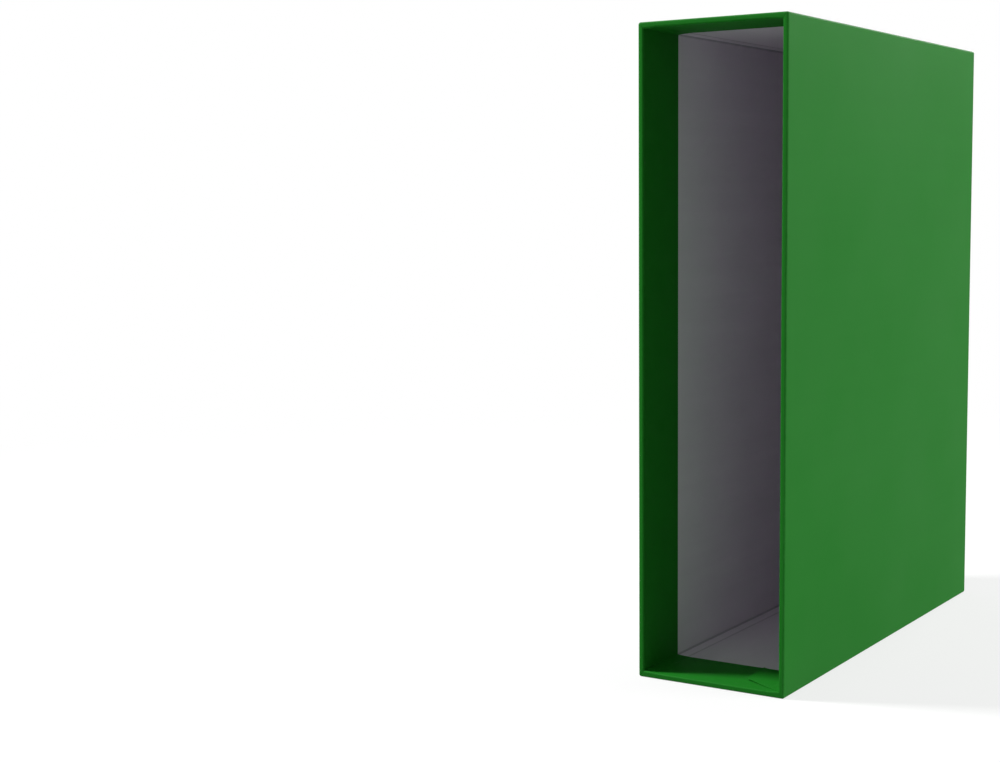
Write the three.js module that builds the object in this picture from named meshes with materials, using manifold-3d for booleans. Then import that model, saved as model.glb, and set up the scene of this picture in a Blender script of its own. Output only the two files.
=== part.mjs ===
// A slipcase for a lever arch file: a rigid five-walled board case, open at the mouth, covered outside
// with green paper that turns in over the mouth's edge, and lined inside with white paper.
// Millimetres. +X is the width, +Y runs from the mouth to the back, +Z is up.
// The origin is the middle of the underside.

import * as THREE from "three";
import { mergeVertices } from "three/addons/utils/BufferGeometryUtils.js";
import Module from "manifold-3d";

// Overall size, over the cover paper
const OUTER_WIDTH = 85;
const OUTER_DEPTH = 290;
const OUTER_HEIGHT = 350;

// Sheet thicknesses
const BOARD_THICKNESS = 2.5;
const COVER_THICKNESS = 0.2;
const LINING_THICKNESS = 0.15;

// Folds of the cover paper: along the four long edges, and round the mouth and the back.
// The board's own edges are the same folds, a sheet further in, and keep at least the smallest radius.
const LONG_FOLD_RADIUS = 1.2;
const END_FOLD_RADIUS = 0.9;
const SMALLEST_FOLD_RADIUS = 0.1;
const ARC_STEPS = 3;

// Cover paper: how far it turns in at the mouth and onto the back, and the lap at its one joint
const TURN_IN_DEPTH = 40;
const BACK_MARGIN = 15;
const LAP_WIDTH = 24;
const LAP_BEVEL_DEPTH = 13;
const SEAM_WIDTH = 0.4;
const SEAM_DEPTH = 0.1;

// Back sheet, pasted over the cover paper's margins
const BACK_SHEET_INSET = 2;
const BACK_SHEET_STEP = 1;

// Lining: how far the wall sheet laps onto the floor and the ceiling
const LINING_LAP = 6.5;

// Board: the gap at each butt joint between an end wall and a side wall
const BUTT_GAP = 0.3;

// Planes and half sizes that follow from the sizes above
const frontY = -OUTER_DEPTH / 2;
const backY = OUTER_DEPTH / 2;
const boardFrontY = frontY + COVER_THICKNESS;
const marginBackY = backY - COVER_THICKNESS;
const boardBackY = marginBackY - COVER_THICKNESS;
const boardInnerBackY = boardBackY - BOARD_THICKNESS;
const liningBackY = boardInnerBackY - LINING_THICKNESS;
const turnInEndY = frontY + TURN_IN_DEPTH;
const boardWall = COVER_THICKNESS + BOARD_THICKNESS;
const liningWall = boardWall + LINING_THICKNESS;
const bandWall = liningWall + COVER_THICKNESS;
const endFoldRadius = Math.min(END_FOLD_RADIUS, bandWall / 2);
const boardFoldRadius = Math.max(endFoldRadius - COVER_THICKNESS, SMALLEST_FOLD_RADIUS);
const longFoldRadius = Math.max(LONG_FOLD_RADIUS, endFoldRadius + SMALLEST_FOLD_RADIUS);

const wasm = await Module();
wasm.setup();

// A closed geometry as a solid that can be joined and cut
function solidOf(geometry) {
  const bare = geometry.clone();
  bare.deleteAttribute("normal");
  bare.deleteAttribute("uv");
  const merged = mergeVertices(bare);
  return new wasm.Manifold(
    new wasm.Mesh({
      numProp: 3,
      vertProperties: merged.getAttribute("position").array,
      triVerts: new Uint32Array(merged.index.array),
    }),
  );
}

// A solid as a three.js geometry
function geometryOf(solid) {
  const mesh = solid.getMesh();
  const geometry = new THREE.BufferGeometry();
  geometry.setAttribute("position", new THREE.BufferAttribute(mesh.vertProperties, 3));
  geometry.setIndex(new THREE.BufferAttribute(mesh.triVerts, 1));
  geometry.computeVertexNormals();
  return geometry;
}

// A block between two corners
function block(x0, x1, y0, y1, z0, z1) {
  const geometry = new THREE.BoxGeometry(x1 - x0, y1 - y0, z1 - z0);
  geometry.translate((x0 + x1) / 2, (y0 + y1) / 2, (z0 + z1) / 2);
  return solidOf(geometry);
}

// A sheet cut to a plan outline in X and Y, lying between two heights
function flatSheet(outline, z0, z1) {
  const shape = new THREE.Shape(outline);
  const geometry = new THREE.ExtrudeGeometry(shape, { depth: z1 - z0, bevelEnabled: false });
  geometry.translate(0, 0, z0);
  return solidOf(geometry);
}

// A form through sections that lie at rising Y, each with the same number of points in X and Z
function loft(sections) {
  const count = sections[0].outline.length;
  const positions = sections.flatMap(({ y, outline }) => outline.flatMap((p) => [p.x, y, p.y]));
  const index = [];
  for (let s = 0; s + 1 < sections.length; s++) {
    for (let i = 0; i < count; i++) {
      const a = s * count + i;
      const b = s * count + ((i + 1) % count);
      index.push(a, a + count, b, b, a + count, b + count);
    }
  }
  const last = (sections.length - 1) * count;
  for (const [a, b, c] of THREE.ShapeUtils.triangulateShape(sections[0].outline, [])) index.push(a, b, c);
  for (const [a, b, c] of THREE.ShapeUtils.triangulateShape(sections.at(-1).outline, [])) {
    index.push(last + a, last + c, last + b);
  }
  const geometry = new THREE.BufferGeometry();
  geometry.setAttribute("position", new THREE.Float32BufferAttribute(positions, 3));
  geometry.setIndex(index);
  return solidOf(geometry);
}

// The case's outline in X and Z, drawn in by an inset, with its four long edges rounded
function outerOutline(inset) {
  const radius = longFoldRadius - inset;
  const right = OUTER_WIDTH / 2 - inset - radius;
  const low = inset + radius;
  const high = OUTER_HEIGHT - inset - radius;
  const shape = new THREE.Shape();
  shape.absarc(right, low, radius, -Math.PI / 2, 0, false);
  shape.absarc(right, high, radius, 0, Math.PI / 2, false);
  shape.absarc(-right, high, radius, Math.PI / 2, Math.PI, false);
  shape.absarc(-right, low, radius, Math.PI, 1.5 * Math.PI, false);
  return shape.getPoints(ARC_STEPS).slice(0, -1);
}

// The case as a full block: drawn in by an inset, ending at the given back plane, both ends rounded
function outerBlock(inset, endY, radius) {
  const sections = [];
  for (let step = 0; step <= ARC_STEPS; step++) {
    const angle = ((Math.PI / 2) * step) / ARC_STEPS;
    const drawnIn = inset + radius * (1 - Math.sin(angle));
    sections.push({ y: frontY + inset + radius * (1 - Math.cos(angle)), outline: outerOutline(drawnIn) });
  }
  for (let step = ARC_STEPS; step >= 0; step--) {
    const angle = ((Math.PI / 2) * step) / ARC_STEPS;
    const drawnIn = inset + radius * (1 - Math.sin(angle));
    sections.push({ y: endY - radius * (1 - Math.cos(angle)), outline: outerOutline(drawnIn) });
  }
  return loft(sections);
}

// The outline in X and Z of the space inside walls of a given thickness, let out by a growth.
// Its corners are stepped in where the lining's laps lie on the floor and the ceiling.
function hollowOutline(wall, growth) {
  const side = OUTER_WIDTH / 2 - wall + growth;
  const low = wall - growth;
  const high = OUTER_HEIGHT - wall + growth;
  const lapEdge = OUTER_WIDTH / 2 - liningWall - LINING_LAP;
  const lapLow = low + LINING_THICKNESS;
  const lapHigh = high - LINING_THICKNESS;
  return [
    [lapEdge, low],
    [lapEdge, lapLow],
    [side, lapLow],
    [side, lapHigh],
    [lapEdge, lapHigh],
    [lapEdge, high],
    [-lapEdge, high],
    [-lapEdge, lapHigh],
    [-side, lapHigh],
    [-side, lapLow],
    [-lapEdge, lapLow],
    [-lapEdge, low],
  ].map(([x, z]) => new THREE.Vector2(x, z));
}

// The free space from a front plane to an end plane, flared at the mouth for the paper's inner fold
function hollow(wall, startY, endY, radius) {
  const sections = [{ y: startY - COVER_THICKNESS / 2, outline: hollowOutline(wall, radius) }];
  for (let step = 0; step <= ARC_STEPS; step++) {
    const angle = ((Math.PI / 2) * step) / ARC_STEPS;
    sections.push({
      y: startY + radius * (1 - Math.cos(angle)),
      outline: hollowOutline(wall, radius * (1 - Math.sin(angle))),
    });
  }
  sections.push({ y: endY, outline: hollowOutline(wall, 0) });
  return loft(sections);
}

// The block that the board case fills, before it is hollowed
const boardBlock = outerBlock(COVER_THICKNESS, boardBackY, boardFoldRadius);

// The space inside the bare board, and the space left once the lining is in
const innerHalfWidth = OUTER_WIDTH / 2 - boardWall;
const floorZ = boardWall;
const ceilingZ = OUTER_HEIGHT - boardWall;
const boardHollow = block(-innerHalfWidth, innerHalfWidth, boardFrontY, boardInnerBackY, floorZ, ceilingZ);
const liningHalfWidth = innerHalfWidth - LINING_THICKNESS;
const lapTopZ = floorZ + 2 * LINING_THICKNESS;
const lapUnderZ = ceilingZ - 2 * LINING_THICKNESS;
const backLapY = liningBackY - LINING_LAP;
const liningHollow = hollow(liningWall, boardFrontY, backLapY, boardFoldRadius).add(
  block(-liningHalfWidth, liningHalfWidth, backLapY - LINING_LAP, liningBackY, lapTopZ, lapUnderZ),
);

// One board blank, folded up from the back wall; the end walls butt between the side walls
function boardCase() {
  let solid = boardBlock.subtract(boardHollow).subtract(liningHollow);
  for (const side of [-1, 1]) {
    for (const [z0, z1] of [[0, floorZ], [ceilingZ, OUTER_HEIGHT]]) {
      const x = side * innerHalfWidth;
      const x0 = Math.min(x, x - side * BUTT_GAP);
      solid = solid.subtract(block(x0, x0 + BUTT_GAP, frontY, boardInnerBackY, z0, z1));
    }
  }
  return solid;
}

// The lining sheet of an end wall, which reaches from wall to wall under the wall sheet's laps
function endLining(z0, z1) {
  return block(-innerHalfWidth, innerHalfWidth, boardFrontY, boardInnerBackY, z0, z1).subtract(liningHollow);
}

// The lining sheet of the left, back and right walls, with laps on the floor and the ceiling
function wallLining() {
  const sheetSpace = block(
    -innerHalfWidth,
    innerHalfWidth,
    boardFrontY,
    boardInnerBackY,
    floorZ + LINING_THICKNESS,
    ceilingZ - LINING_THICKNESS,
  );
  return sheetSpace.subtract(liningHollow);
}

// The end of the cover paper at its lap joint, turned in onto the floor at the right.
// It lies on the turned-in band, and steps up where the lining's lap lies under that band.
function turnedInLap() {
  const bandX = OUTER_WIDTH / 2 - bandWall;
  const bandHold = COVER_THICKNESS / 2;
  const startY = frontY + endFoldRadius;
  const outline = [
    [bandX + bandHold, startY],
    [bandX + bandHold, turnInEndY],
    [bandX - LAP_WIDTH, turnInEndY],
    [bandX - LAP_WIDTH, startY + LAP_BEVEL_DEPTH],
  ].map(([x, y]) => new THREE.Vector2(x, y));
  const stepX = OUTER_WIDTH / 2 - liningWall - LINING_LAP;
  const stepZ = bandWall + LINING_THICKNESS;
  const low = flatSheet(outline, bandWall - bandHold, bandWall + COVER_THICKNESS);
  const high = flatSheet(outline, stepZ - bandHold, stepZ + COVER_THICKNESS);
  return low
    .intersect(block(-OUTER_WIDTH, stepX, frontY, backY, 0, OUTER_HEIGHT))
    .add(high.intersect(block(stepX - COVER_THICKNESS, OUTER_WIDTH, frontY, backY, 0, OUTER_HEIGHT)));
}

// The cover paper: round all four walls, in at the mouth, and onto the edges of the back
function coverWrap() {
  const skin = outerBlock(0, marginBackY, endFoldRadius).subtract(boardBlock);
  const mouthFill = liningHollow.intersect(
    block(-OUTER_WIDTH, OUTER_WIDTH, frontY, turnInEndY, 0, OUTER_HEIGHT),
  );
  const mouth = hollow(bandWall, frontY, turnInEndY + COVER_THICKNESS, endFoldRadius);
  const backWindow = block(
    BACK_MARGIN - OUTER_WIDTH / 2,
    OUTER_WIDTH / 2 - BACK_MARGIN,
    boardBackY - COVER_THICKNESS,
    backY,
    BACK_MARGIN,
    OUTER_HEIGHT - BACK_MARGIN,
  );
  const seamX = OUTER_WIDTH / 2 - LAP_WIDTH;
  const seam = block(seamX - SEAM_WIDTH / 2, seamX + SEAM_WIDTH / 2, frontY, backY, -SEAM_DEPTH, SEAM_DEPTH);
  return skin.add(mouthFill).subtract(mouth).subtract(backWindow).add(turnedInLap()).subtract(seam);
}

// The sheet pasted on the back: it lies on the cover paper's margins and dips to the board between them
function backSheet() {
  const halfWidth = OUTER_WIDTH / 2 - BACK_SHEET_INSET;
  const halfWindow = OUTER_WIDTH / 2 - BACK_MARGIN;
  const halfDip = halfWindow - BACK_SHEET_STEP;
  const rimLow = BACK_SHEET_INSET;
  const dipLow = BACK_MARGIN + BACK_SHEET_STEP;
  const overMargins = block(-halfWidth, halfWidth, marginBackY, backY, rimLow, OUTER_HEIGHT - rimLow);
  const windowHigh = OUTER_HEIGHT - BACK_MARGIN;
  const onBoard = block(-halfWindow, halfWindow, boardBackY, marginBackY, BACK_MARGIN, windowHigh);
  const dip = block(-halfDip, halfDip, marginBackY, backY + COVER_THICKNESS, dipLow, OUTER_HEIGHT - dipLow);
  return overMargins.add(onBoard).subtract(dip);
}

// Materials
const greenPaper = new THREE.MeshStandardMaterial({ color: 0x327e35, roughness: 0.55, metalness: 0 });
const whitePaper = new THREE.MeshStandardMaterial({ color: 0xd6d5da, roughness: 0.85, metalness: 0 });
const greyBoard = new THREE.MeshStandardMaterial({ color: 0x8f877a, roughness: 0.9, metalness: 0 });

function piece(name, solid, material) {
  const mesh = new THREE.Mesh(geometryOf(solid), material);
  mesh.name = name;
  return mesh;
}

const slipcase = new THREE.Group();
slipcase.add(
  piece("board_case", boardCase(), greyBoard),
  piece("cover_wrap", coverWrap(), greenPaper),
  piece("back_sheet", backSheet(), greenPaper),
  piece("wall_lining", wallLining(), whitePaper),
  piece("floor_lining", endLining(floorZ, floorZ + LINING_THICKNESS), whitePaper),
  piece("ceiling_lining", endLining(ceilingZ - LINING_THICKNESS, ceilingZ), whitePaper),
);

export default slipcase;
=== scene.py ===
"""A slipcase for a lever arch file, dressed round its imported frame.

The case is a rigid board box, open at the mouth. Green paper covers it and turns in over the rim, and
white paper lines it. Every length is in metres, in the frame's own axes: X is the width, Y runs from the
mouth to the back, Z is up.
"""

import logging
import math
from collections.abc import Iterable
from dataclasses import dataclass, field
from enum import Enum
from typing import NamedTuple

import bmesh
import bpy
from mathutils import Matrix, Vector


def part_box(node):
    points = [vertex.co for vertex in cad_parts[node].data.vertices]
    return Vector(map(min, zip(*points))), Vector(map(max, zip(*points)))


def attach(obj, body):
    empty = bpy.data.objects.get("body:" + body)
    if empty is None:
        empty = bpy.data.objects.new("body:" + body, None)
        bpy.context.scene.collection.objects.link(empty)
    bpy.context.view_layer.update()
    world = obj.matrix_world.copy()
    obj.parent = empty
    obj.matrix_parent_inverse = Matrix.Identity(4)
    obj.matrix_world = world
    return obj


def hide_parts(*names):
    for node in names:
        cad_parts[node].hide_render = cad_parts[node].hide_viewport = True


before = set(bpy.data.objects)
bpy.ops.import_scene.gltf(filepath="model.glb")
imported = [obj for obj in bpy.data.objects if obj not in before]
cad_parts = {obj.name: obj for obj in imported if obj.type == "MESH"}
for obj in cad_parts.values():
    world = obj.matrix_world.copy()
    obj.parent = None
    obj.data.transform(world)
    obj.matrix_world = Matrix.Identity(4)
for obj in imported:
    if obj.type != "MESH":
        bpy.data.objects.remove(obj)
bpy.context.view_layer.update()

log = logging.getLogger("slipcase")

MM = 0.001
BODY = "root"
SHARP_ANGLE = math.radians(50)
WHITE = (1.0, 1.0, 1.0, 1.0)
# Most of a noise's values lie in this range.
NOISE_RANGE = (0.3, 0.7)
# A narrower range, which breaks the noise up into patches.
PATCH_RANGE = (0.35, 0.65)
# The streaks of a paper's rolling are drawn out along Y.
ROLLED = (1.0, 0.06, 1.0)
# The numbers of a Mix node's sockets where it mixes colours.
MIX_SHARE, MIX_FIRST, MIX_SECOND, MIX_RESULT = 0, 6, 7, 2

Grid = list[list[Vector]]
Colour = tuple[float, float, float]


class Wall(Enum):
    """The part of the case that a point of a loop round it lies on."""

    FLOOR = "floor"
    RIGHT = "right"
    CEILING = "ceiling"
    LEFT = "left"
    CORNER = "corner"


class Slot(Enum):
    """The names of the record's material slots for the new pieces."""

    GREEN_PAPER = "green_paper"
    WHITE_PAPER = "white_paper"


class LoopPoint(NamedTuple):
    """A point of a loop round the four walls, seen along Y, and whether a corner's crease runs there."""

    x: float
    z: float
    wall: Wall
    creased: bool = False


class ProfilePoint(NamedTuple):
    """A point of a sheet's path over a wall: how far inside the case's outside it is, and its good side."""

    inset: float
    y: float
    out_inset: float
    out_y: float


def srgb(red: int, green: int, blue: int) -> Colour:
    """Turns a screen colour into the linear one that shaders take.

    Args:
        red: Red, from 0 to 255.
        green: Green, from 0 to 255.
        blue: Blue, from 0 to 255.

    Returns:
        The linear colour, each part from 0 to 1.
    """

    def linear(value: int) -> float:
        """Undoes the screen's curve for one part."""
        share = value / 255
        return share / 12.92 if share <= 0.04045 else ((share + 0.055) / 1.055) ** 2.4

    return linear(red), linear(green), linear(blue)


def spread(low: float, high: float, count: int) -> list[float]:
    """Gives evenly spaced values.

    Args:
        low: The first value.
        high: The last value.
        count: How many steps lie between them.

    Returns:
        One more value than there are steps.
    """
    return [low + (high - low) * i / count for i in range(count + 1)]


def ease(value: float) -> float:
    """Rises smoothly from 0 to 1 as the value does, and stays there outside that range."""
    t = min(1.0, max(0.0, value))
    return t * t * (3 - 2 * t)


@dataclass(frozen=True)
class CaseSizes:
    """The case's planes and thicknesses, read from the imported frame."""

    half_width: float
    height: float
    front: float
    back: float
    margin_back: float
    cover: float
    board_wall: float
    lining: float
    lining_back: float

    @classmethod
    def from_frame(cls) -> "CaseSizes":
        """Reads the sizes from the boxes of the CAD nodes.

        Returns:
            The sizes.
        """
        cover_low, cover_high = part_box("cover_wrap")
        _, sheet_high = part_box("back_sheet")
        board_low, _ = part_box("board_case")
        floor_low, floor_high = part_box("floor_lining")
        _, lining_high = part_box("wall_lining")
        lining = floor_high.z - floor_low.z
        return cls(
            half_width=cover_high.x,
            height=cover_high.z,
            front=cover_low.y,
            back=sheet_high.y,
            margin_back=cover_high.y,
            cover=board_low.z - cover_low.z,
            board_wall=floor_low.z,
            lining=lining,
            lining_back=lining_high.y - lining,
        )

    @property
    def lining_wall(self) -> float:
        """From the case's outside to the face of its lining."""
        return self.board_wall + self.lining

    @property
    def band_wall(self) -> float:
        """From the case's outside to the face of the turned-in cover paper."""
        return self.lining_wall + self.cover


@dataclass(frozen=True)
class Loop:
    """Where a loop round the four walls has its points."""

    across: tuple[float, ...]
    upright: tuple[float, ...]
    corner_steps: int = 6

    def points(self, sizes: CaseSizes, inset: float, radius: float, crease: float) -> list[LoopPoint]:
        """Lays the loop inside the case's outside.

        Args:
            sizes: The case's sizes.
            inset: How far inside the case's outside the loop lies.
            radius: The loop's radius at its corners.
            crease: How far the middle of each corner is pressed outwards.

        Returns:
            The points, from the left end of the floor, right, up, left and down again.
        """
        side = sizes.half_width - inset
        low, high = inset, sizes.height - inset
        found: list[LoopPoint] = []

        def corner(sign_x: int, sign_z: int, start: float) -> None:
            """Adds one rounded corner, a quarter turn long.

            Args:
                sign_x: -1 at the left and 1 at the right.
                sign_z: -1 at the floor and 1 at the ceiling.
                start: The angle at which it starts.
            """
            centre_x = sign_x * (side - radius)
            centre_z = (high - radius) if sign_z > 0 else (low + radius)
            for step, angle in enumerate(spread(start, start + math.pi / 2, self.corner_steps)):
                creased = 2 * step == self.corner_steps
                reach = radius + (crease if creased else 0)
                x, z = centre_x + reach * math.cos(angle), centre_z + reach * math.sin(angle)
                found.append(LoopPoint(x, z, Wall.CORNER, creased))

        found += [LoopPoint(x, low, Wall.FLOOR) for x in self.across]
        corner(1, -1, -math.pi / 2)
        found += [LoopPoint(side, z, Wall.RIGHT) for z in self.upright]
        corner(1, 1, 0)
        found += [LoopPoint(x, high, Wall.CEILING) for x in reversed(self.across)]
        corner(-1, 1, math.pi / 2)
        found += [LoopPoint(-side, z, Wall.LEFT) for z in reversed(self.upright)]
        corner(-1, -1, math.pi)
        return found


def sheet_object(name: str, face: Grid, under: Grid, wraps: bool = False) -> bpy.types.Object:
    """Makes a closed sheet from the points of its good side and of its glued side.

    Args:
        name: The piece's name.
        face: Rows of points on the good side.
        under: The same rows on the glued side.
        wraps: Whether each row closes on itself.

    Returns:
        The sheet as a mesh object, with smooth folds and sharp cut edges.
    """
    rows, columns = len(face), len(face[0])
    vertices = [point for grid in (face, under) for row in grid for point in row]
    below = rows * columns

    def at(row: int, column: int) -> int:
        """The index of a point on the good side."""
        return row * columns + column % columns

    faces: list[tuple[int, ...]] = []
    for row in range(rows - 1):
        for column in range(columns if wraps else columns - 1):
            quad = (at(row, column), at(row, column + 1), at(row + 1, column + 1), at(row + 1, column))
            faces.append(quad)
            faces.append(tuple(below + i for i in reversed(quad)))
    for column in range(columns if wraps else columns - 1):
        for row, step in ((0, 1), (rows - 1, -1)):
            a, b = at(row, column), at(row, column + 1)
            edge = (b, a, below + a, below + b)
            faces.append(edge if step == 1 else tuple(reversed(edge)))
    if not wraps:
        for row in range(rows - 1):
            for column, step in ((0, 1), (columns - 1, -1)):
                a, b = at(row, column), at(row + 1, column)
                edge = (a, b, below + b, below + a)
                faces.append(edge if step == 1 else tuple(reversed(edge)))
    mesh = bpy.data.meshes.new(name)
    mesh.from_pydata(vertices, [], faces)
    mesh.validate()
    face_out(mesh)
    mesh.shade_smooth()
    mesh.set_sharp_from_angle(angle=SHARP_ANGLE)
    piece = bpy.data.objects.new(name, mesh)
    bpy.context.scene.collection.objects.link(piece)
    weighted = piece.modifiers.new("even_shading", "WEIGHTED_NORMAL")
    weighted.keep_sharp = True
    return piece


def face_out(mesh: bpy.types.Mesh) -> None:
    """Turns every face of a closed mesh outwards.

    Args:
        mesh: The mesh to mend in place.
    """
    work = bmesh.new()
    work.from_mesh(mesh)
    bmesh.ops.recalc_face_normals(work, faces=work.faces)
    work.to_mesh(mesh)
    work.free()


class NodeSketch:
    """Adds and links the nodes of one shader tree."""

    def __init__(self, tree: bpy.types.NodeTree) -> None:
        """Keeps the tree to work on.

        Args:
            tree: A material's, a world's or a group's node tree.
        """
        self.tree = tree

    def add(
        self, kind: str, inputs: dict[str | int, object] | None = None, **settings: object
    ) -> bpy.types.Node:
        """Adds a node, sets it up and fills its sockets.

        Args:
            kind: The node's type.
            inputs: A value or an output socket for each named or numbered input.
            settings: The node's own properties.

        Returns:
            The node.
        """
        node = self.tree.nodes.new(kind)
        for name, value in settings.items():
            setattr(node, name, value)
        for name, value in (inputs or {}).items():
            if isinstance(value, bpy.types.NodeSocket):
                self.tree.links.new(value, node.inputs[name])
            else:
                node.inputs[name].default_value = value
        return node

    def math(self, operation: str, *values: object, clamp: bool = False) -> bpy.types.NodeSocket:
        """Adds a sum on one or more values.

        Args:
            operation: What the node does, such as ADD.
            values: A number or an output socket for each input.
            clamp: Whether the result is held from 0 to 1.

        Returns:
            The result's socket.
        """
        node = self.add("ShaderNodeMath", dict(enumerate(values)), operation=operation, use_clamp=clamp)
        return node.outputs[0]

    def remap(
        self, value: bpy.types.NodeSocket, low: float, high: float, to: tuple[object, object]
    ) -> bpy.types.NodeSocket:
        """Stretches a value from one range to another.

        Args:
            value: The value's socket.
            low: Where the range starts.
            high: Where it ends.
            to: What they turn into.

        Returns:
            The result's socket.
        """
        least, most = to
        inputs = {"Value": value, "From Min": low, "From Max": high, "To Min": least, "To Max": most}
        return self.add("ShaderNodeMapRange", inputs, clamp=True).outputs["Result"]

    def noise(
        self, vector: bpy.types.NodeSocket, scale: object, detail: float, roughness: float
    ) -> bpy.types.NodeSocket:
        """Adds a soft random pattern.

        Args:
            vector: Where the pattern is read.
            scale: How many times a metre it repeats.
            detail: How many finer layers it has.
            roughness: How strong they are.

        Returns:
            The pattern's value.
        """
        inputs = {"Vector": vector, "Scale": scale, "Detail": detail, "Roughness": roughness}
        return self.add("ShaderNodeTexNoise", inputs).outputs[0]

    def mix(self, share: object, first: object, second: object) -> bpy.types.NodeSocket:
        """Mixes two colours.

        Args:
            share: How much of the second there is.
            first: The first colour.
            second: The second colour.

        Returns:
            The mixed colour.
        """
        inputs = {MIX_SHARE: share}
        for index, value in ((MIX_FIRST, first), (MIX_SECOND, second)):
            inputs[index] = value if isinstance(value, bpy.types.NodeSocket) else (*value, 1.0)
        return self.add("ShaderNodeMix", inputs, data_type="RGBA").outputs[MIX_RESULT]


def new_group(
    name: str, inputs: dict[str, tuple[str, object]], outputs: Iterable[str]
) -> tuple[bpy.types.NodeTree, NodeSketch]:
    """Starts a shader node group with named sockets.

    Args:
        name: The group's name.
        inputs: For each input, its socket type and its default.
        outputs: The outputs, which are all values.

    Returns:
        The group's tree, and a sketch that works on it.
    """
    tree = bpy.data.node_groups.new(name, "ShaderNodeTree")
    for label, (kind, default) in inputs.items():
        socket = tree.interface.new_socket(label, in_out="INPUT", socket_type=kind)
        if default is not None:
            socket.default_value = default
    for label in outputs:
        tree.interface.new_socket(label, in_out="OUTPUT", socket_type="NodeSocketFloat")
    return tree, NodeSketch(tree)


def paper_grain_group() -> bpy.types.NodeTree:
    """Makes the grain of paper: short fibres, the drawn-out streaks of its rolling, and soft clouds.

    Returns:
        The group. Fibre, Streak and Cloud run from 0 to 1 round a middle of a half, and Relief is their
        height in metres.
    """
    tree, sketch = new_group(
        "paper_grain",
        {
            "Place": ("NodeSocketVector", None),
            "Fibres": ("NodeSocketFloat", 2600.0),
            "Streaks": ("NodeSocketFloat", 90.0),
            "Clouds": ("NodeSocketFloat", 14.0),
            "Fibre Height": ("NodeSocketFloat", 0.00001),
            "Cloud Height": ("NodeSocketFloat", 0.00004),
        },
        ("Fibre", "Streak", "Cloud", "Relief"),
    )
    start = sketch.add("NodeGroupInput")
    end = sketch.add("NodeGroupOutput")
    place = start.outputs["Place"]
    fibre = sketch.noise(place, start.outputs["Fibres"], detail=4.0, roughness=0.65)
    drawn = sketch.add("ShaderNodeMapping", {"Vector": place, "Scale": ROLLED}).outputs[0]
    streak = sketch.noise(drawn, start.outputs["Streaks"], detail=3.0, roughness=0.55)
    cloud = sketch.noise(place, start.outputs["Clouds"], detail=2.0, roughness=0.5)
    fine = sketch.math("MULTIPLY", fibre, start.outputs["Fibre Height"])
    broad = sketch.math("MULTIPLY", cloud, start.outputs["Cloud Height"])
    relief = sketch.math("ADD", fine, broad)
    for label, value in (("Fibre", fibre), ("Streak", streak), ("Cloud", cloud), ("Relief", relief)):
        tree.links.new(value, end.inputs[label])
    return tree


def fold_wear_group(sizes: CaseSizes) -> bpy.types.NodeTree:
    """Makes a mask of the case's outer folds, where the paper is rubbed.

    Args:
        sizes: The case's sizes.

    Returns:
        The group. Wear is 1 on a fold and 0 away from it, broken up by small patches.
    """
    tree, sketch = new_group(
        "fold_wear",
        {
            "Place": ("NodeSocketVector", None),
            "Width": ("NodeSocketFloat", 0.0012),
            "Patches": ("NodeSocketFloat", 300.0),
            "Least": ("NodeSocketFloat", 0.25),
        },
        ("Wear",),
    )
    start = sketch.add("NodeGroupInput")
    end = sketch.add("NodeGroupOutput")
    middle = (0.0, (sizes.front + sizes.back) / 2, sizes.height / 2)
    half = (sizes.half_width, (sizes.back - sizes.front) / 2, sizes.height / 2)
    parts = sketch.add("ShaderNodeSeparateXYZ", {"Vector": start.outputs["Place"]}).outputs
    gaps = []
    for part, centre, reach in zip(parts, middle, half):
        away = sketch.math("ABSOLUTE", sketch.math("SUBTRACT", part, centre))
        gaps.append(sketch.math("SUBTRACT", reach, away))
    lesser = sketch.math("MINIMUM", gaps[0], gaps[1])
    greater = sketch.math("MAXIMUM", gaps[0], gaps[1])
    second = sketch.math("MAXIMUM", lesser, sketch.math("MINIMUM", greater, gaps[2]))
    near = sketch.math("SUBTRACT", 1.0, sketch.math("DIVIDE", second, start.outputs["Width"]), clamp=True)
    uneven = sketch.noise(start.outputs["Place"], start.outputs["Patches"], detail=3.0, roughness=0.6)
    patches = sketch.remap(uneven, *PATCH_RANGE, (start.outputs["Least"], 1.0))
    tree.links.new(sketch.math("MULTIPLY", near, patches), end.inputs["Wear"])
    return tree


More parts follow.
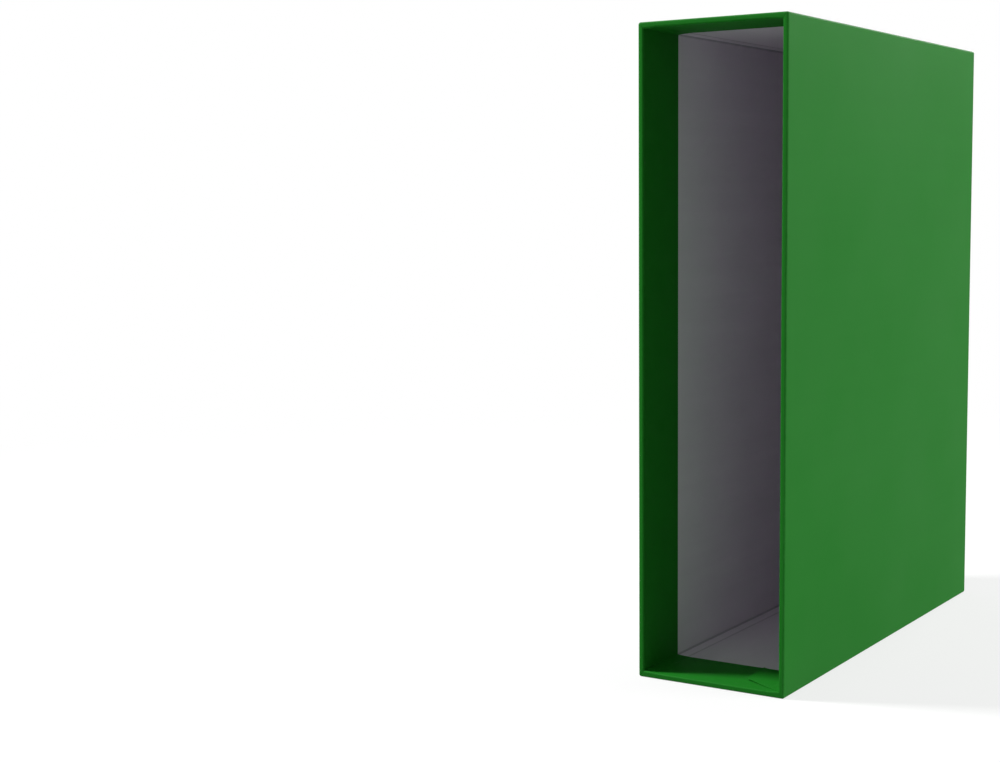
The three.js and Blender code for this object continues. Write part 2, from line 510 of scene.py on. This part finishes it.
def painted_crease_shade_group(sizes: CaseSizes, lap_edge: float) -> bpy.types.NodeTree:
    """Makes a mask of painted shade for the lining: darker along its long inner corners and its laps'
    edges, where shade falls.

    Args:
        sizes: The case's sizes.
        lap_edge: Where the laps end, to either side of the middle.

    Returns:
        The group. Its one output is 1 along such a corner or edge, where the painted shade is darkest, and
        0 away from it.
    """
    tree, sketch = new_group(
        "painted_crease_shade",
        {
            "Place": ("NodeSocketVector", None),
            "Fold Width": ("NodeSocketFloat", 0.0016),
            "Lap Width": ("NodeSocketFloat", 0.0009),
            "Lap Share": ("NodeSocketFloat", 0.45),
        },
        ("Line",),
    )
    start = sketch.add("NodeGroupInput")
    end = sketch.add("NodeGroupOutput")
    parts = sketch.add("ShaderNodeSeparateXYZ", {"Vector": start.outputs["Place"]}).outputs
    aside = sketch.math("ABSOLUTE", parts["X"])
    from_wall = sketch.math("SUBTRACT", sizes.half_width - sizes.lining_wall, aside)
    from_middle = sketch.math("ABSOLUTE", sketch.math("SUBTRACT", parts["Z"], sizes.height / 2))
    from_end = sketch.math("SUBTRACT", sizes.height / 2 - sizes.lining_wall, from_middle)
    # Painted shade along the long inner corners, and weaker painted shade along the laps' edges.
    away = sketch.math("MAXIMUM", from_wall, from_end)
    far = sketch.math("DIVIDE", away, start.outputs["Fold Width"])
    fold = sketch.math("SUBTRACT", 1.0, far, clamp=True)
    from_lap = sketch.math("ABSOLUTE", sketch.math("SUBTRACT", aside, lap_edge))
    past = sketch.math("MAXIMUM", from_lap, from_end)
    lap = sketch.math("SUBTRACT", 1.0, sketch.math("DIVIDE", past, start.outputs["Lap Width"]), clamp=True)
    weaker = sketch.math("MULTIPLY", lap, start.outputs["Lap Share"])
    tree.links.new(sketch.math("MAXIMUM", fold, weaker), end.inputs["Line"])
    return tree


@dataclass(frozen=True)
class Groups:
    """The shader groups that more than one finish uses."""

    grain: bpy.types.NodeTree
    wear: bpy.types.NodeTree
    # The mask of painted shade along the lining's inner corners and laps' edges.
    crease_shade: bpy.types.NodeTree


def start_material(name: str) -> tuple[bpy.types.Material, NodeSketch]:
    """Starts a node material with nothing in it.

    Args:
        name: The material's name.

    Returns:
        The material, and a sketch that works on it.
    """
    material = bpy.data.materials.new(name)
    material.use_nodes = True
    material.node_tree.nodes.clear()
    return material, NodeSketch(material.node_tree)


@dataclass(frozen=True)
class PaperFinish:
    """A smooth paper: its colours, how it shines and how strong its grain is."""

    name: str
    colour: Colour
    deep_colour: Colour
    worn_colour: Colour
    # The colour of the painted shade along inner corners and laps' edges.
    crease_shade_colour: Colour
    roughness: tuple[float, float]
    specular: float
    clouds: float = 0.35
    streaks: float = 0.25
    fibres: float = 0.2
    fibre_height: float = 0.012 * MM
    cloud_height: float = 0.05 * MM
    wear: float = 0.25
    # How strongly that painted shade darkens the colour.
    crease_shade: float = 0.0
    relief_strength: float = 0.6

    def colour_over(
        self, sketch: NodeSketch, grain: bpy.types.Node, wear: bpy.types.Node, lines: bpy.types.Node
    ) -> bpy.types.NodeSocket:
        """Mixes the paper's colour from its grain, its rubbed folds and its painted shade along inner
        corners and laps' edges.

        Args:
            sketch: The tree to work on.
            grain: The placed group of the grain.
            wear: The placed group of the rubbed folds.
            lines: The placed group of the painted shade along inner corners and laps' edges.

        Returns:
            The colour's socket.
        """
        strengths = {"Cloud": self.clouds, "Streak": self.streaks, "Fibre": self.fibres}
        cloud, streak, fibre = (
            sketch.remap(grain.outputs[label], *NOISE_RANGE, (0.0, strength))
            for label, strength in strengths.items()
        )
        depth = sketch.math("ADD", sketch.math("ADD", cloud, streak), fibre, clamp=True)
        plain = sketch.mix(depth, self.colour, self.deep_colour)
        rubbed = sketch.math("MULTIPLY", wear.outputs["Wear"], self.wear)
        outer = sketch.mix(rubbed, plain, self.worn_colour)
        # Painted shade: darker along the inner corners and laps' edges.
        crease_shade = sketch.math("MULTIPLY", lines.outputs["Line"], self.crease_shade)
        return sketch.mix(crease_shade, outer, self.crease_shade_colour)

    def build(self, groups: Groups) -> bpy.types.Material:
        """Makes the material.

        Args:
            groups: The shared shader groups.

        Returns:
            The material.
        """
        material, sketch = start_material(self.name)
        place = sketch.add("ShaderNodeTexCoord").outputs["Object"]
        heights = {"Fibre Height": self.fibre_height, "Cloud Height": self.cloud_height}
        grain = sketch.add("ShaderNodeGroup", {"Place": place, **heights}, node_tree=groups.grain)
        wear = sketch.add("ShaderNodeGroup", {"Place": place}, node_tree=groups.wear)
        # The mask of the painted shade along inner corners and laps' edges.
        lines = sketch.add("ShaderNodeGroup", {"Place": place}, node_tree=groups.crease_shade)
        relief = {"Strength": self.relief_strength, "Distance": 1.0, "Height": grain.outputs["Relief"]}
        shader = sketch.add(
            "ShaderNodeBsdfPrincipled",
            {
                "Base Color": self.colour_over(sketch, grain, wear, lines),
                "Roughness": sketch.remap(grain.outputs["Cloud"], *NOISE_RANGE, self.roughness),
                "Specular IOR Level": self.specular,
                "Normal": sketch.add("ShaderNodeBump", relief).outputs["Normal"],
            },
        )
        sketch.add("ShaderNodeOutputMaterial", {"Surface": shader.outputs[0]})
        return material


@dataclass(frozen=True)
class GreyboardFinish:
    """Compact greyboard: pressed waste paper, clouded and with dark specks."""

    name: str = "greyboard"
    colour: Colour = srgb(150, 143, 130)
    speck_colour: Colour = srgb(98, 92, 84)
    cloud_shade: float = 0.8
    speck_scale: float = 1400.0
    speck_range: tuple[float, float] = (0.58, 0.7)
    speck_strength: float = 0.8
    roughness: tuple[float, float] = (0.8, 0.95)
    specular: float = 0.2
    relief_strength: float = 0.8

    def build(self, groups: Groups) -> bpy.types.Material:
        """Makes the material.

        Args:
            groups: The shared shader groups.

        Returns:
            The material.
        """
        material, sketch = start_material(self.name)
        place = sketch.add("ShaderNodeTexCoord").outputs["Object"]
        grain = sketch.add("ShaderNodeGroup", {"Place": place}, node_tree=groups.grain)
        scattered = sketch.noise(place, self.speck_scale, detail=2.0, roughness=0.7)
        specks = sketch.remap(scattered, *self.speck_range, (0.0, self.speck_strength))
        shade = tuple(self.cloud_shade * part for part in self.colour)
        plain = sketch.mix(grain.outputs["Cloud"], self.colour, shade)
        relief = {"Strength": self.relief_strength, "Distance": 1.0, "Height": grain.outputs["Relief"]}
        shader = sketch.add(
            "ShaderNodeBsdfPrincipled",
            {
                "Base Color": sketch.mix(specks, plain, self.speck_colour),
                "Roughness": sketch.remap(grain.outputs["Fibre"], *NOISE_RANGE, self.roughness),
                "Specular IOR Level": self.specular,
                "Normal": sketch.add("ShaderNodeBump", relief).outputs["Normal"],
            },
        )
        sketch.add("ShaderNodeOutputMaterial", {"Surface": shader.outputs[0]})
        return material


def dress(piece: bpy.types.Object, material: bpy.types.Material) -> None:
    """Gives a piece its one material.

    Args:
        piece: The piece, new or from the frame.
        material: Its material.
    """
    piece.data.materials.clear()
    piece.data.materials.append(material)


def settle(piece: bpy.types.Object, material: bpy.types.Material, slot: Slot, *nodes: str) -> None:
    """Finishes a new piece: its material, its body and the nodes that it stands for.

    Args:
        piece: The new piece.
        material: Its material.
        slot: The record's slot that its finish comes from. Not used.
        nodes: The CAD nodes that it replaces.
    """
    dress(piece, material)
    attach(piece, BODY)
    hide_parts(*nodes)
    log.info("%s: %d faces, for %s", piece.name, len(piece.data.polygons), ", ".join(nodes))


@dataclass(frozen=True)
class InnerCorner:
    """How the papers lie along the four long inner corners.

    The lining of a side wall laps onto the floor and the ceiling. It isn't pressed home there, so it
    rises a little towards the wall and turns up in a small fillet, and the cover paper lies over that.
    """

    sizes: CaseSizes
    lap: float = 6.5 * MM
    rise: float = 0.35 * MM
    fillet: float = 0.4 * MM
    lap_step: float = 0.3 * MM

    @property
    def lap_edge(self) -> float:
        """Where the laps end, to either side of the middle."""
        return self.sizes.half_width - self.sizes.lining_wall - self.lap

    def slope(self, off: float) -> float:
        """How high the lap lies above its own edge, by its distance from the wall."""
        return self.rise * ease(1 - off / self.lap) ** 2

    def lift(self, x: float) -> float:
        """How high a sheet on top of the lining lies above the plain floor."""
        beyond = abs(x) - self.lap_edge
        return self.sizes.lining * ease(beyond / self.lap_step) + self.slope(self.lap - beyond)


@dataclass
class CoverPaper:
    """The green paper round the four walls, with its turned-in band and the end of its lap."""

    sizes: CaseSizes
    corner: InnerCorner
    long_fold: float = 1.2 * MM
    end_fold: float = 0.9 * MM
    turn_in: float = 40 * MM
    back_margin: float = 15 * MM
    lap_width: float = 24 * MM
    lap_bevel: float = 13 * MM
    lap_short: float = 5 * MM
    lap_lift: float = 1.7 * MM
    lap_held: float = 0.45
    seam_depth: float = 0.1 * MM
    seam_width: float = 0.4 * MM
    crease: float = 0.15 * MM
    mitre_depth: float = 0.2 * MM
    swell: float = 0.2 * MM
    ceiling_swell: float = 0.3
    ripple: float = 0.2
    ripple_turns: tuple[float, float] = (3.1, 2.3)
    lift_shares: tuple[float, float] = (0.6, 0.9)
    fold_steps: int = 6
    margin_steps: int = 4
    wall_steps: int = 44
    band_steps: int = 12
    upright_end: float = 8 * MM
    upright_steps: int = 40
    middle_reach: float = 30 * MM
    middle_steps: int = 12
    seam_points: tuple[float, ...] = (-0.5, -0.25, 0.25, 0.5)
    lap_points_mm: tuple[float, ...] = (-0.5, 0.0, 0.3, 0.8, 2.0, 3.5, 4.5, 5.2)
    lap_end_steps: tuple[int, int] = (24, 16)
    across: list[float] = field(init=False)

    def __post_init__(self) -> None:
        """Chooses where the loop has its points: evenly, and close together at the seam and the laps."""
        seam = [self.seam_x + share * self.seam_width for share in self.seam_points]
        lap = [self.corner.lap_edge + offset * MM for offset in self.lap_points_mm]
        middle = spread(-self.middle_reach, self.middle_reach, self.middle_steps)
        plain = [x for x in middle if abs(x - self.seam_x) > self.seam_width]
        self.across = sorted(plain + seam + lap + [-x for x in lap])

    @property
    def seam_x(self) -> float:
        """Where the lap's edge runs along the underside."""
        return self.sizes.half_width - self.lap_width

    @property
    def turn_in_end(self) -> float:
        """How deep in the mouth the paper ends."""
        return self.sizes.front + self.turn_in

    def profile(self) -> list[ProfilePoint]:
        """Follows the paper over a wall, from its margin on the back to its end inside the mouth.

        Returns:
            The points, with the direction in which the paper's good side faces.
        """
        s, r = self.sizes, self.end_fold
        margin = spread(self.back_margin, 2 * r, self.margin_steps)
        outside = spread(s.margin_back - 2 * r, s.front + 2 * r, self.wall_steps)
        band = spread(s.front + 2 * r, self.turn_in_end, self.band_steps)
        found = [ProfilePoint(inset, s.margin_back, 0, 1) for inset in margin]

        def fold(inset: float, y: float, start: float, end: float) -> None:
            """Adds a fold round a centre.

            Args:
                inset: How far inside the case's outside the centre lies.
                y: How deep it lies.
                start: The first angle, from the depth's axis.
                end: The last angle.
            """
            for angle in spread(start, end, self.fold_steps):
                out_inset, out_y = -math.sin(angle), math.cos(angle)
                found.append(ProfilePoint(inset + r * out_inset, y + r * out_y, out_inset, out_y))

        fold(r, s.margin_back - r, 0, math.pi / 2)
        found += [ProfilePoint(0, y, -1, 0) for y in outside]
        fold(r, s.front + r, math.pi / 2, math.pi)
        fold(s.band_wall - r, s.front + r, math.pi, 1.5 * math.pi)
        found += [ProfilePoint(s.band_wall, y, 1, 0) for y in band]
        return found

    def corner_radius(self, inset: float) -> float:
        """Gives the loop's radius at its corners: the long folds outside, and the lining's fillet inside.

        Args:
            inset: How far inside the case's outside the loop lies.

        Returns:
            The radius.
        """
        s = self.sizes
        outer, inner = self.long_fold - s.cover, self.corner.fillet
        if inset <= s.cover:
            return self.long_fold - inset
        if inset >= s.lining_wall:
            return inner + s.lining_wall - inset
        return outer + (inner - outer) * (inset - s.cover) / (s.lining_wall - s.cover)

    def bow(self, point: LoopPoint, y: float) -> float:
        """Gives how far a wall's outside swells, which is nothing at its folds and on the underside.

        Args:
            point: The point on its loop.
            y: How deep the loop lies.

        Returns:
            The swell.
        """
        s = self.sizes
        along = (y - s.front) / (s.margin_back - s.front)
        if point.wall in (Wall.LEFT, Wall.RIGHT):
            across = point.z / s.height
            up, deep = self.ripple_turns
            lean = 1 - self.ripple + self.ripple * math.sin(up * across + deep * along)
        elif point.wall is Wall.CEILING:
            across = (point.x + s.half_width) / (2 * s.half_width)
            lean = self.ceiling_swell
        else:
            return 0.0
        shape = max(0.0, math.sin(math.pi * along)) * max(0.0, math.sin(math.pi * across))
        return self.swell * lean * shape

    def place(self, point: LoopPoint, inset: float, y: float) -> Vector:
        """Puts one point of the wrap where the paper really lies.

        Args:
            point: The point on its loop.
            inset: How far inside the case's outside the loop lies.
            y: How deep the loop lies.

        Returns:
            The point in the frame.
        """
        x, z = point.x, point.z
        outside = inset < self.end_fold
        if outside and y > self.sizes.front + self.end_fold:
            bow = self.bow(point, y)
            x += bow * {Wall.RIGHT: 1, Wall.LEFT: -1}.get(point.wall, 0)
            z += bow if point.wall is Wall.CEILING else 0
            if point.wall is Wall.FLOOR and abs(x - self.seam_x) < self.seam_width / 3:
                z += self.seam_depth
        elif not outside:
            first, last = self.lift_shares
            share = ease((inset / self.sizes.band_wall - first) / (last - first))
            if point.wall not in (Wall.LEFT, Wall.RIGHT):
                lift = self.corner.lift(x) * share
                z += lift if z < self.sizes.height / 2 else -lift
        if point.creased and y < self.sizes.front + self.end_fold:
            y += self.mitre_depth
        return Vector((x, y, z))

    def wrap(self) -> bpy.types.Object:
        """Makes the paper round the four walls.

        Returns:
            The sheet.
        """
        top = self.sizes.height - self.upright_end
        loop = Loop(tuple(self.across), tuple(spread(self.upright_end, top, self.upright_steps)))
        face: Grid = []
        under: Grid = []
        for p in self.profile():
            for grid, depth in ((face, 0.0), (under, self.sizes.cover)):
                inset, y = p.inset - p.out_inset * depth, p.y - p.out_y * depth
                crease = self.crease if inset >= self.sizes.lining_wall else 0.0
                points = loop.points(self.sizes, inset, self.corner_radius(inset), crease)
                grid.append([self.place(q, inset, y) for q in points])
        return sheet_object("cover_paper", face, under, wraps=True)

    def lap_end(self) -> bpy.types.Object:
        """Makes the turned-in end of the lap, which lies on the floor at the right of the mouth.

        Returns:
            The sheet.
        """
        s = self.sizes
        wall = s.half_width - s.band_wall + s.cover / 2
        end = self.turn_in_end - self.lap_short
        across_steps, deep_steps = self.lap_end_steps
        face: Grid = []
        under: Grid = []
        for u in spread(0, 1, across_steps):
            x = wall - u * (self.lap_width + s.cover / 2)
            start = s.front + self.end_fold + self.lap_bevel * u
            tops, bottoms = [], []
            for v in spread(0, 1, deep_steps):
                lift = self.lap_lift * u**2 * (self.lap_held + (1 - self.lap_held) * v)
                base = s.band_wall + self.corner.lift(x) + lift
                bottoms.append(Vector((x, start + (end - start) * v, base)))
                tops.append(Vector((x, start + (end - start) * v, base + s.cover)))
            face.append(tops)
            under.append(bottoms)
        return sheet_object("cover_paper_lap_end", face, under)

    def build(self, material: bpy.types.Material) -> None:
        """Makes both parts of the paper and dresses them.

        Args:
            material: The green paper.
        """
        settle(self.wrap(), material, Slot.GREEN_PAPER, "cover_wrap")
        settle(self.lap_end(), material, Slot.GREEN_PAPER, "cover_wrap")


@dataclass
class BackSheet:
    """The green sheet pasted on the back, which dips where the cover paper's margins end."""

    sizes: CaseSizes
    inset: float = 2 * MM
    margin: float = 15 * MM
    step: float = 1 * MM
    upright_steps: int = 16
    across_steps: int = 6

    def lines(self, low: float, high: float, count: int) -> list[float]:
        """Chooses where the sheet has its points, close together where it dips.

        Args:
            low: The sheet's first edge.
            high: Its last edge.
            count: How many even steps lie between the dips.

        Returns:
            The places, in rising order.
        """
        reach = self.margin - self.inset
        dips = [reach / 2, reach, reach + self.step / 2, reach + self.step]
        inner = spread(low + reach + 2 * self.step, high - reach - 2 * self.step, count)
        return [low, *(low + d for d in dips), *inner, *(high - d for d in reversed(dips)), high]

    def build(self, material: bpy.types.Material) -> None:
        """Makes the sheet and dresses it.

        Args:
            material: The green paper.
        """
        s = self.sizes
        half = s.half_width - self.inset
        face: Grid = []
        under: Grid = []
        for z in self.lines(self.inset, s.height - self.inset, self.upright_steps):
            tops, bottoms = [], []
            for x in self.lines(-half, half, self.across_steps):
                edge = min(s.half_width - abs(x), z, s.height - z)
                dip = s.cover * ease((edge - self.margin) / self.step)
                tops.append(Vector((x, s.back - dip, z)))
                bottoms.append(Vector((x, s.back - s.cover - dip, z)))
            face.append(tops)
            under.append(bottoms)
        settle(sheet_object("back_paper", face, under), material, Slot.GREEN_PAPER, "back_sheet")


@dataclass
class Lining:
    """The white paper inside: one sheet on the left, back and right walls, and one on each end wall."""

    sizes: CaseSizes
    inner_corner: InnerCorner
    back_fold: float = 1.0 * MM
    front_gap: float = 3 * MM
    fold_steps: int = 5
    lap_steps: int = 8
    upright_steps: int = 30
    depth_steps: int = 30
    back_reach: float = 30 * MM
    back_steps: int = 10

    @property
    def start(self) -> float:
        """Where the lining starts, under the turned-in cover paper."""
        return self.sizes.front + self.front_gap

    def wall_profile(self) -> list[tuple[float, float, float, float]]:
        """Follows the wall sheet from its lap on the floor, up the wall, to its lap on the ceiling.

        Returns:
            For each point, its distance from the wall, its height, and the way its good side faces.
        """
        s, corner = self.sizes, self.inner_corner
        r = corner.fillet
        low = s.lining_wall + s.lining
        laps = spread(corner.lap, r, self.lap_steps)
        found = [(off, low + corner.slope(off), 0.0, 1.0) for off in laps]
        base = low + corner.rise
        for angle in spread(0, math.pi / 2, self.fold_steps)[1:]:
            out, up = math.sin(angle), math.cos(angle)
            found.append((r - r * out, base + r - r * up, out, up))
        turned = len(found)
        upright = spread(base + 2 * r, s.height - base - 2 * r, self.upright_steps)
        found += [(0.0, z, 1.0, 0.0) for z in upright]
        mirrored = [(off, s.height - z, out, -up) for off, z, out, up in found[:turned]]
        return found + mirrored[::-1]

    def path(self, off: float) -> list[tuple[float, float, float, float]]:
        """Follows the left, back and right walls, seen from above.

        Args:
            off: How far inside the walls' faces the path lies.

        Returns:
            For each point, its place in X and Y, and the way that the wall faces there.
        """
        s, r = self.sizes, self.back_fold
        side = s.half_width - s.lining_wall - off
        back = s.lining_back - off
        depths = spread(self.start, s.lining_back - self.inner_corner.lap - 2 * r, self.depth_steps)
        found = [(-side, y, 1.0, 0.0) for y in depths]
        for angle in spread(math.pi, math.pi / 2, self.fold_steps):
            c, n = math.cos(angle), math.sin(angle)
            found.append((-side + r + r * c, back - r + r * n, -c, -n))
        across = spread(-self.back_reach, self.back_reach, self.back_steps)
        found += [(x, back, 0.0, -1.0) for x in across]
        for angle in spread(math.pi / 2, 0, self.fold_steps):
            c, n = math.cos(angle), math.sin(angle)
            found.append((side - r + r * c, back - r + r * n, -c, -n))
        found += [(side, y, -1.0, 0.0) for y in reversed(depths)]
        return found

    def walls(self) -> bpy.types.Object:
        """Makes the sheet on the left, back and right walls.

        Returns:
            The sheet.
        """
        face: Grid = []
        under: Grid = []
        t = self.sizes.lining
        for off, z, out, up in self.wall_profile():
            path = self.path(off)
            face.append([Vector((x, y, z)) for x, y, _, _ in path])
            back = [(x - out * t * nx, y - out * t * ny) for x, y, nx, ny in path]
            under.append([Vector((x, y, z - up * t)) for x, y in back])
        return sheet_object("wall_lining_paper", face, under)

    def end_sheet(self, name: str, low: float, high: float) -> bpy.types.Object:
        """Makes the sheet of one end wall.

        Args:
            name: The piece's name.
            low: Its lower face.
            high: Its upper face.

        Returns:
            The sheet.
        """
        half = self.sizes.half_width - self.sizes.board_wall
        across, deep = (-half, 0.0, half), (self.start, 0.0, self.sizes.lining_back)
        face, under = ([[Vector((x, y, z)) for y in deep] for x in across] for z in (high, low))
        return sheet_object(name, face, under)

    def build(self, material: bpy.types.Material) -> None:
        """Makes the three sheets and dresses them.

        Args:
            material: The white paper.
        """
        s = self.sizes
        settle(self.walls(), material, Slot.WHITE_PAPER, "wall_lining")
        floor = self.end_sheet("floor_lining_paper", s.board_wall, s.lining_wall)
        settle(floor, material, Slot.WHITE_PAPER, "floor_lining")
        ceiling = self.end_sheet("ceiling_lining_paper", s.height - s.lining_wall, s.height - s.board_wall)
        settle(ceiling, material, Slot.WHITE_PAPER, "ceiling_lining")


@dataclass(frozen=True)
class BoardCase:
    """The board itself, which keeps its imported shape."""

    node: str = "board_case"

    def build(self, material: bpy.types.Material) -> None:
        """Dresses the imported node.

        Args:
            material: The greyboard.
        """
        dress(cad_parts[self.node], material)
        log.info("%s: the packed piece, dressed as greyboard", self.node)


@dataclass(frozen=True)
class Lamp:
    """A soft square lamp."""

    name: str
    location: tuple[float, float, float]
    aim: tuple[float, float, float]
    size: float
    power: float

    def build(self) -> None:
        """Adds the lamp to the scene."""
        light = bpy.data.lights.new(self.name, "AREA")
        light.shape = "SQUARE"
        light.size = self.size
        light.energy = self.power
        lamp = bpy.data.objects.new(self.name, light)
        lamp.location = self.location
        away = Vector(self.aim) - Vector(self.location)
        lamp.rotation_euler = away.to_track_quat("-Z", "Y").to_euler()
        bpy.context.scene.collection.objects.link(lamp)


@dataclass
class Studio:
    """The plain floor, the lamps, the sky and the camera."""

    floor_half: float = 6.0
    floor_gap: float = 0.1 * MM
    floor_grey: float = 0.4
    floor_seen: float = 0.95
    floor_plain: tuple[float, float] = (0.75, 1.0)
    floor_fade: tuple[float, float] = (0.45, 1.1)
    sky_front: float = 0.42
    sky_between: float = 0.05
    sky_sides: float = 0.3
    front_edge: tuple[float, float] = (-0.75, -0.5)
    sides_edge: tuple[float, float] = (-0.15, 0.15)
    lens: float = 61.67
    sensor: float = 36.0
    camera_place: tuple[float, float, float] = (0.3957, -0.9465, 0.2548)
    camera_aim: tuple[float, float, float] = (-0.1506, -0.1151, 0.1535)
    camera_roll: float = math.radians(-0.55)
    lamps: tuple[Lamp, ...] = (
        Lamp("right_lamp", (2.2, 0.75, 0.6), (0.04, 0.0, 0.18), 1.0, 30.0),
        Lamp("rim_lamp", (-0.98, -0.5, 1.36), (0.0, -0.14, 0.1), 0.24, 29.0),
        Lamp("back_lamp", (0.2, 1.7, 1.0), (0.0, 0.14, 0.18), 0.7, 15.0),
    )

    def seen(self, sketch: NodeSketch) -> bpy.types.NodeSocket:
        """Finds the rays that see the background itself, and not the light that it gives.

        Args:
            sketch: The tree to work on.

        Returns:
            1 for such a ray and 0 for the others.
        """
        path = sketch.add("ShaderNodeLightPath").outputs
        direct = sketch.math("MAXIMUM", path["Is Camera Ray"], path["Is Glossy Ray"])
        return sketch.math("MAXIMUM", direct, path["Is Transmission Ray"])

    def floor(self) -> None:
        """Lays the pale floor."""
        mesh = bpy.data.meshes.new("studio_floor")
        h, z = self.floor_half, -self.floor_gap
        corners = [(-h, -h, z), (h, -h, z), (h, h, z), (-h, h, z)]
        mesh.from_pydata(corners, [], [(0, 1, 2, 3)])
        floor = bpy.data.objects.new("studio_floor", mesh)
        bpy.context.scene.collection.objects.link(floor)
        material, sketch = start_material("studio_floor")
        seen = self.seen(sketch)
        grey = sketch.mix(seen, (self.floor_grey,) * 3, (self.floor_seen,) * 3)
        lit = sketch.add("ShaderNodeBsdfDiffuse", {"Color": grey})
        plain = sketch.add("ShaderNodeEmission", {"Color": WHITE, "Strength": 1.0})
        place = sketch.add("ShaderNodeTexCoord").outputs["Object"]
        away = sketch.add("ShaderNodeVectorMath", {0: place}, operation="LENGTH").outputs["Value"]
        white = sketch.remap(away, *self.floor_fade, self.floor_plain)
        share = sketch.math("MULTIPLY", seen, white)
        both = sketch.add("ShaderNodeMixShader", {0: share, 1: lit.outputs[0], 2: plain.outputs[0]})
        sketch.add("ShaderNodeOutputMaterial", {"Surface": both.outputs[0]})
        dress(floor, material)

    def sky(self) -> None:
        """Sets the white backdrop, and soft light from all round that is weakest before the mouth."""
        world = bpy.data.worlds.new("studio_sky")
        world.use_nodes = True
        world.node_tree.nodes.clear()
        sketch = NodeSketch(world.node_tree)
        towards = sketch.add("ShaderNodeTexCoord").outputs["Generated"]
        parts = sketch.add("ShaderNodeSeparateXYZ", {"Vector": towards}).outputs
        ahead = sketch.remap(parts["Y"], *self.front_edge, (self.sky_front, self.sky_between))
        more = self.sky_sides - self.sky_between
        beside = sketch.remap(parts["Y"], *self.sides_edge, (0.0, more))
        strength = sketch.math("ADD", ahead, beside)
        light = sketch.add("ShaderNodeBackground", {"Color": WHITE, "Strength": strength})
        plain = sketch.add("ShaderNodeBackground", {"Color": WHITE, "Strength": 1.0})
        both = sketch.add(
            "ShaderNodeMixShader", {0: self.seen(sketch), 1: light.outputs[0], 2: plain.outputs[0]}
        )
        sketch.add("ShaderNodeOutputWorld", {"Surface": both.outputs[0]})
        bpy.context.scene.world = world

    def camera(self) -> None:
        """Sets the camera where the photograph was taken from."""
        data = bpy.data.cameras.new("camera")
        data.lens = self.lens
        data.sensor_width = self.sensor
        camera = bpy.data.objects.new("camera", data)
        away = Vector(self.camera_aim) - Vector(self.camera_place)
        level = away.to_track_quat("-Z", "Y").to_matrix().to_4x4()
        roll = Matrix.Rotation(self.camera_roll, 4, "Z")
        camera.matrix_world = Matrix.Translation(self.camera_place) @ level @ roll
        bpy.context.scene.collection.objects.link(camera)
        bpy.context.scene.camera = camera

    def build(self) -> None:
        """Sets up the whole studio."""
        self.floor()
        self.sky()
        for lamp in self.lamps:
            lamp.build()
        self.camera()
        bpy.context.scene.view_settings.view_transform = "Standard"


GREEN_PAPER = PaperFinish(
    name="green_cover_paper",
    colour=srgb(30, 123, 33),
    deep_colour=srgb(27, 114, 30),
    worn_colour=srgb(80, 150, 82),
    # The colour of the painted corner shade; unused here, as its strength stays 0.
    crease_shade_colour=srgb(20, 90, 24),
    roughness=(0.54, 0.6),
    specular=0.06,
    clouds=0.06,
    streaks=0.2,
    cloud_height=0.015 * MM,
)
WHITE_PAPER = PaperFinish(
    name="white_lining_paper",
    colour=srgb(241, 232, 245),
    deep_colour=srgb(225, 216, 229),
    worn_colour=srgb(241, 232, 245),
    # The colour of the painted shade along the inner corners and laps' edges.
    crease_shade_colour=srgb(150, 146, 156),
    roughness=(0.8, 0.9),
    specular=0.15,
    wear=0.0,
    # How strongly the painted shade darkens the inner corners and laps' edges.
    crease_shade=0.9,
)


def main() -> None:
    """Builds the case's papers round its board, and the studio round the case."""
    sizes = CaseSizes.from_frame()
    corner = InnerCorner(sizes)
    # The painted shade along the lining's inner corners and laps' edges.
    crease_shade = painted_crease_shade_group(sizes, corner.lap_edge)
    groups = Groups(paper_grain_group(), fold_wear_group(sizes), crease_shade)
    green = GREEN_PAPER.build(groups)
    white = WHITE_PAPER.build(groups)
    Studio().build()
    CoverPaper(sizes, corner).build(green)
    BackSheet(sizes).build(green)
    Lining(sizes, corner).build(white)
    BoardCase().build(GreyboardFinish().build(groups))


if __name__ == "__main__":
    logging.basicConfig(level=logging.INFO, format="%(name)s: %(message)s")
    main()
